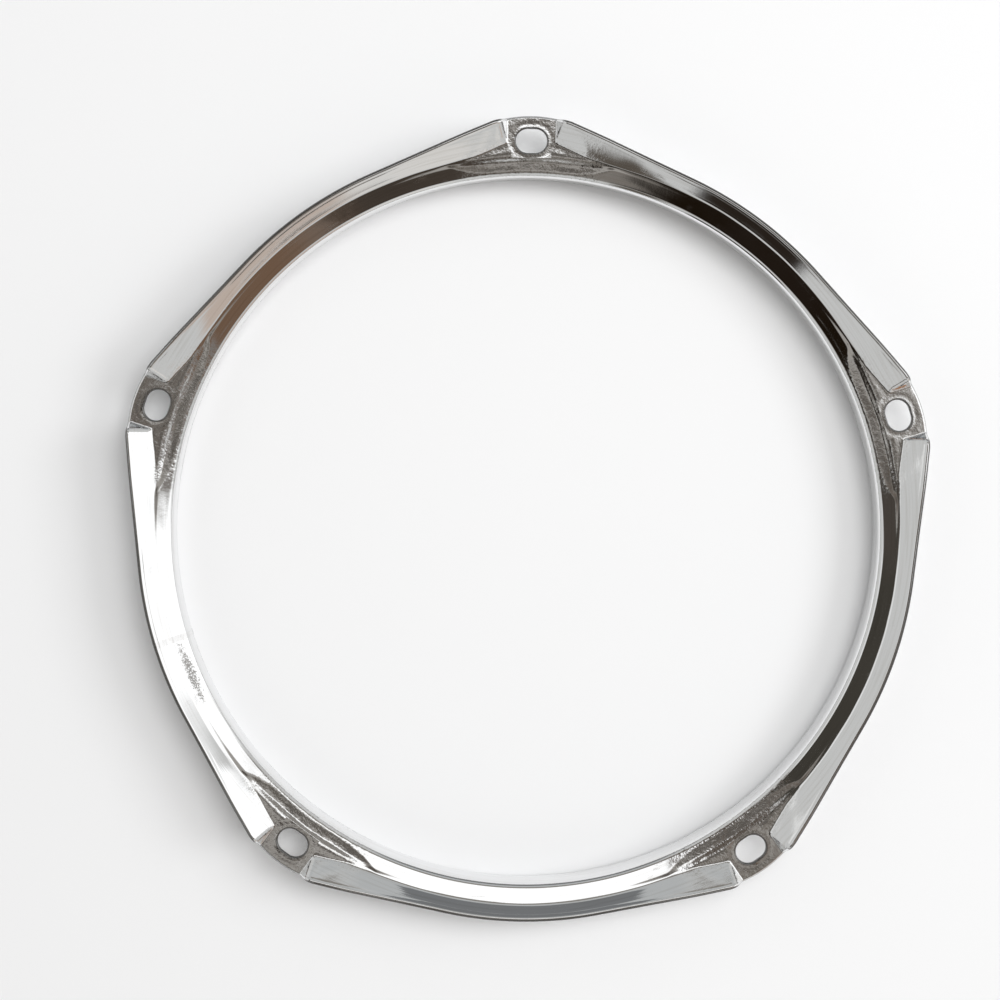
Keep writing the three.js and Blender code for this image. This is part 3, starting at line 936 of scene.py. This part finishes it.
def build_camera():
    camera = bpy.data.objects.new("camera", bpy.data.cameras.new("camera"))
    bpy.context.scene.collection.objects.link(camera)
    bpy.context.scene.camera = camera
    camera.data.sensor_width = SENSOR_WIDTH
    camera.data.lens = SENSOR_WIDTH * CAMERA_DISTANCE / (FRAME_PIXELS * METRES_PER_PIXEL)
    camera.data.shift_x = -(UNDER_PIXEL[0] - FRAME_PIXELS / 2) / FRAME_PIXELS
    camera.data.shift_y = (UNDER_PIXEL[1] - FRAME_PIXELS / 2) / FRAME_PIXELS
    right = (UNDER_PIXEL[0] - RING_PIXEL[0]) * METRES_PER_PIXEL
    up = -(UNDER_PIXEL[1] - RING_PIXEL[1]) * METRES_PER_PIXEL
    turn = math.radians(CAMERA_TURN)
    camera.location = (
        right * math.cos(turn) - up * math.sin(turn),
        right * math.sin(turn) + up * math.cos(turn),
        PLATE_HEIGHT + CAMERA_DISTANCE,
    )
    camera.rotation_euler = (0, 0, turn)


# The room that the chrome mirrors: a dim patch straight over the hoop, a grey ceiling round it, pale
# walls below that and a dark skirting along the horizon. Each band says how far from straight up it
# starts and is full, in degrees, and its colour.
ZENITH_COLOUR = (0.10, 0.09, 0.08)
ROOM_BANDS = [
    (3, 9, (0.36, 0.34, 0.315)),
    (16, 24, (0.24, 0.225, 0.205)),
    (40, 48, (0.60, 0.60, 0.59)),
    (85.5, 87.5, (0.08, 0.07, 0.06)),
]

# The room's soft-edged panels, later ones over earlier ones: azimuth of the middle, half width and
# softness; how far from straight up it starts and ends, and that softness; colour. Angles in degrees.
ROOM_PANELS = [
    (130, 16, 6, 6, 42, 4, (0.11, 0.09, 0.075)),
    (167, 27, 5, 26, 46, 2, (0.80, 0.80, 0.79)),
    (168, 34, 6, 12, 26, 2, (0.05, 0.045, 0.037)),
    (211, 7, 4, 13, 21, 2, (0.8, 0.8, 0.78)),
    (195, 9, 4, 17, 37, 2, (0.065, 0.055, 0.047)),
    (233, 28, 5, 18, 37, 2, (0.010, 0.006, 0.003)),
    (268, 9, 4, 17, 27, 2, (0.20, 0.18, 0.16)),
    (290, 13, 4, 21, 42, 3, (0.055, 0.043, 0.034)),
    (316, 13, 7, 21, 42, 3, (0.165, 0.102, 0.066)),
    (312, 16, 8, 6, 17, 3, (0.15, 0.13, 0.11)),
    (335, 9, 4, 12, 40, 3, (0.22, 0.20, 0.185)),
    (312, 16, 3, 63, 86, 4, (0.54, 0.45, 0.39)),
    (291, 8, 3, 54, 86, 4, (0.72, 0.70, 0.67)),
    (256, 4, 2, 46, 80, 4, (0.10, 0.085, 0.07)),
    (238, 9.5, 2, 20, 41, 2, (0.015, 0.010, 0.007)),
    (238, 9.5, 1.5, 68, 86.5, 1.5, (0.022, 0.016, 0.012)),
    (74, 44, 5, 11, 26, 2, (1.25, 1.25, 1.25)),
    (88, 27, 4, 47, 86, 4, (0.48, 0.49, 0.49)),
    (90, 27, 8, 66, 86, 2, (0.185, 0.19, 0.195)),
    (9, 22, 4, 18, 62, 3, (1.25, 1.25, 1.25)),
    (9, 16, 6, 58, 86, 3, (1.25, 1.25, 1.25)),
    (186, 34, 14, 3, 11, 2, (0.14, 0.118, 0.10)),
    (246, 22, 10, 3, 9, 2, (0.10, 0.09, 0.08)),
    (322, 18, 8, 4, 11, 2, (0.07, 0.06, 0.05)),
]


def build_world():
    world = bpy.data.worlds.new("room")
    bpy.context.scene.world = world
    world.use_nodes = True
    tree = world.node_tree
    direction = node(tree, "ShaderNodeTexCoord").outputs["Generated"]
    parts = node(tree, "ShaderNodeSeparateXYZ", {0: direction})
    off_zenith = maths(tree, "ARCCOSINE", parts.outputs["Z"])
    azimuth = maths(tree, "ARCTAN2", parts.outputs["Y"], parts.outputs["X"])

    def ramp(value, low, high):
        return spread(tree, value, math.radians(low), math.radians(high))

    colour = ZENITH_COLOUR
    for start, full, over in ROOM_BANDS:
        colour = blend_colour(tree, ramp(off_zenith, start, full), colour, over)
    for centre, half_width, soft, near, far, edge, over in ROOM_PANELS:
        turned = maths(tree, "SUBTRACT", azimuth, math.radians(centre))
        beside = maths(tree, "ABSOLUTE", maths(tree, "WRAP", turned, -math.pi, math.pi))
        share = ramp(beside, half_width + soft, half_width - soft)
        share = maths(tree, "MULTIPLY", share, ramp(off_zenith, near - edge, near + edge))
        share = maths(tree, "MULTIPLY", share, ramp(off_zenith, far + edge, far - edge))
        colour = blend_colour(tree, share, colour, over)
    background = tree.nodes["Background"]
    tree.links.new(colour, background.inputs["Color"])
    background.inputs["Strength"].default_value = 1.0


# Each lamp's name, azimuth and elevation in degrees, distance and size in metres, and power in watts.
LAMPS = [
    ("key_lamp", 12, 40, 2.2, 0.9, 13.8),
    ("overhead_lamp", 48, 70, 2.3, 1.2, 21.5),
]


def build_lamp(name, azimuth, elevation, distance, size, power):
    data = bpy.data.lights.new(name, "AREA")
    data.shape = "RECTANGLE"
    data.size, data.size_y = size, size
    data.energy = power
    lamp = bpy.data.objects.new(name, data)
    bpy.context.scene.collection.objects.link(lamp)
    azimuth, elevation = math.radians(azimuth), math.radians(elevation)
    lamp.location = (
        distance * math.cos(elevation) * math.cos(azimuth),
        distance * math.cos(elevation) * math.sin(azimuth),
        distance * math.sin(elevation),
    )
    lamp.rotation_euler = (0, math.pi / 2 - elevation, azimuth)
    lamp.visible_camera = False
    lamp.visible_glossy = False


build_camera()
build_world()
for lamp in LAMPS:
    build_lamp(*lamp)
build_floor()

strip = build_strip()
strip.data.materials.append(
    chrome_material("bright_chrome", CHROME_COLOUR, CHROME_ROUGHNESS, GRAIN_HEIGHT, 0.0)
)
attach(strip, "root")
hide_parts("pressed_hoop")

weld = build_weld()
weld.data.materials.append(
    chrome_material("dressed_weld", WELD_COLOUR, WELD_ROUGHNESS, WELD_GRAIN_HEIGHT, WELD_SCRATCH_SHARE)
)
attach(weld, "root")
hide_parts("butt_weld")

scene = bpy.context.scene
scene.view_settings.view_transform = "Standard"
